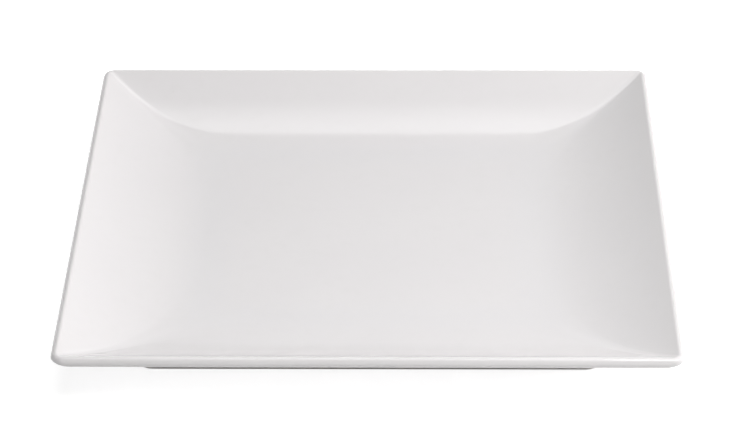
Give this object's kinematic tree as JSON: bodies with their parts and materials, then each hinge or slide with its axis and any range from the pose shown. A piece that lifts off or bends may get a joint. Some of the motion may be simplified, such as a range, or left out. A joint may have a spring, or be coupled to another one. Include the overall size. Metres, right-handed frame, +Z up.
{
  "type": "square dinner plate",
  "caption": "Square dinner plate in white glazed porcelain: flat floor, coved walls that meet in mitred corner creases, thin rounded lip, and a square foot ring to stand on.",
  "frame": {"origin": "centre of the plate on the table that it stands on", "axes": "+Z up out of the well, X and Y square to the sides, -Y towards the viewer"},
  "size_m": [0.26, 0.26, 0.0254],
  "materials": {
    "bare_porcelain": "fired, unglazed and matt",
    "white_glaze": "clear gloss over white"
  },
  "bodies": {
    "root": {"porcelain_body": "bare_porcelain", "outer_glaze": "white_glaze", "foot_well_glaze": "white_glaze"}
  },
  "joints": []
}
